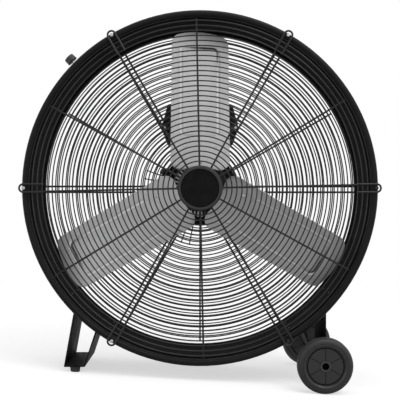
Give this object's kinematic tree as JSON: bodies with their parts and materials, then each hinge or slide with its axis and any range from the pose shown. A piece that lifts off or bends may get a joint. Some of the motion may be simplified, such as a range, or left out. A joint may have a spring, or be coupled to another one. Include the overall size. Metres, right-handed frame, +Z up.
{
  "type": "drum fan",
  "caption": "Industrial drum fan: shallow steel drum with wire guards, pressed paddle blades on a rear motor, a bent strip stand with rubber feet and a wheeled axle.",
  "frame": {"origin": "on the floor under the fan axis, in the middle of the drum's depth", "axes": "+Z up, +Y along the fan axis to the rear (intake), the front guard faces -Y, +X towards the wheels"},
  "size_m": [0.8348, 0.381, 0.8557],
  "materials": {
    "drum_paint": "black powder coat",
    "guard_paint": "black powder-coated wire",
    "stand_paint": "black powder coat",
    "cap_plastic": "dark grey satin bezel",
    "badge_gloss": "glossy black, bare",
    "blade_metal": "satin rolled sheet",
    "spider_steel": "black",
    "rivet_steel": "plated",
    "screw_zinc": "zinc plated",
    "motor_paint": "black paint on cast covers",
    "fin_metal": "bright cast fins",
    "bearing_steel": "ground",
    "core_steel": "stacked laminations",
    "winding_copper": "enamelled copper wire",
    "box_plastic": "black moulded",
    "switch_plastic": "dark moulded",
    "capacitor_shell": "drawn can",
    "dial_plate": "satin plate with plain marks",
    "knob_plastic": "dark grey moulded",
    "foot_rubber": "dark rubber",
    "tyre_rubber": "dark solid tyre",
    "wheel_plastic": "dark moulded"
  },
  "bodies": {
    "drum": {"drum_shell": "drum_paint", "drum_rims": "drum_paint", "front_guard_inner_rings": "guard_paint", "front_guard_outer_rings": "guard_paint", "front_guard_spokes": "guard_paint", "front_guard_clips": "guard_paint", "front_clip_screws": "screw_zinc", "front_hub_plate": "guard_paint", "hub_cap": "cap_plastic", "hub_badge": "badge_gloss", "rear_guard_inner_rings": "guard_paint", "rear_guard_outer_rings": "guard_paint", "rear_guard_spokes": "guard_paint", "rear_guard_hairpins": "guard_paint", "rear_clip_screws": "screw_zinc", "motor_plate": "guard_paint", "motor_bolts": "screw_zinc", "motor_housing": "motor_paint", "motor_front_bell": "motor_paint", "motor_rear_bell": "motor_paint", "motor_front_bearing": "bearing_steel", "motor_rear_bearing": "bearing_steel", "motor_fins": "fin_metal", "stator_core": "core_steel", "stator_windings": "winding_copper", "terminal_box": "box_plastic", "terminal_box_cover": "box_plastic", "terminal_box_clamps": "guard_paint", "terminal_box_screws": "screw_zinc", "run_capacitor": "capacitor_shell", "terminal_block": "switch_plastic", "cable_gland": "switch_plastic", "control_box": "box_plastic", "control_box_screws": "screw_zinc", "rotary_switch": "switch_plastic", "switch_nut": "screw_zinc", "speed_dial": "dial_plate", "stand_frame": "stand_paint", "stand_screws": "screw_zinc", "stand_feet": "foot_rubber", "foot_screws": "screw_zinc", "wheel_bracket": "stand_paint", "bracket_screws": "screw_zinc", "wheel_axle": "bearing_steel", "axle_spacers": "wheel_plastic", "axle_push_nuts": "screw_zinc"},
    "rotor": {"motor_shaft": "bearing_steel", "rotor_core": "core_steel", "blade_spider": "spider_steel", "blade_rivets": "rivet_steel", "hub_nut": "spider_steel", "blade_1": "blade_metal", "blade_2": "blade_metal", "blade_3": "blade_metal"},
    "front_wheel": {"front_wheel_tyre": "tyre_rubber", "front_wheel_hub": "wheel_plastic"},
    "rear_wheel": {"rear_wheel_tyre": "tyre_rubber", "rear_wheel_hub": "wheel_plastic"},
    "knob": {"speed_knob": "knob_plastic", "knob_shaft": "bearing_steel"}
  },
  "joints": [
    {"name": "fan_spin", "type": "hinge", "parent": "drum", "child": "rotor", "pos_m": [0, 0, 0.44471], "axis": [0, 1, 0], "continuous": true},
    {"name": "front_wheel_spin", "type": "hinge", "parent": "drum", "child": "front_wheel", "pos_m": [0.30065, -0.173, 0.0625], "axis": [0, 1, 0], "continuous": true},
    {"name": "rear_wheel_spin", "type": "hinge", "parent": "drum", "child": "rear_wheel", "pos_m": [0.30065, 0.173, 0.0625], "axis": [0, 1, 0], "continuous": true},
    {"name": "speed_knob_turn", "type": "hinge", "parent": "drum", "child": "knob", "pos_m": [-0.31548, 0, 0.728], "axis": [-0.744, 0, 0.6681], "range_deg": [0, 135]}
  ]
}
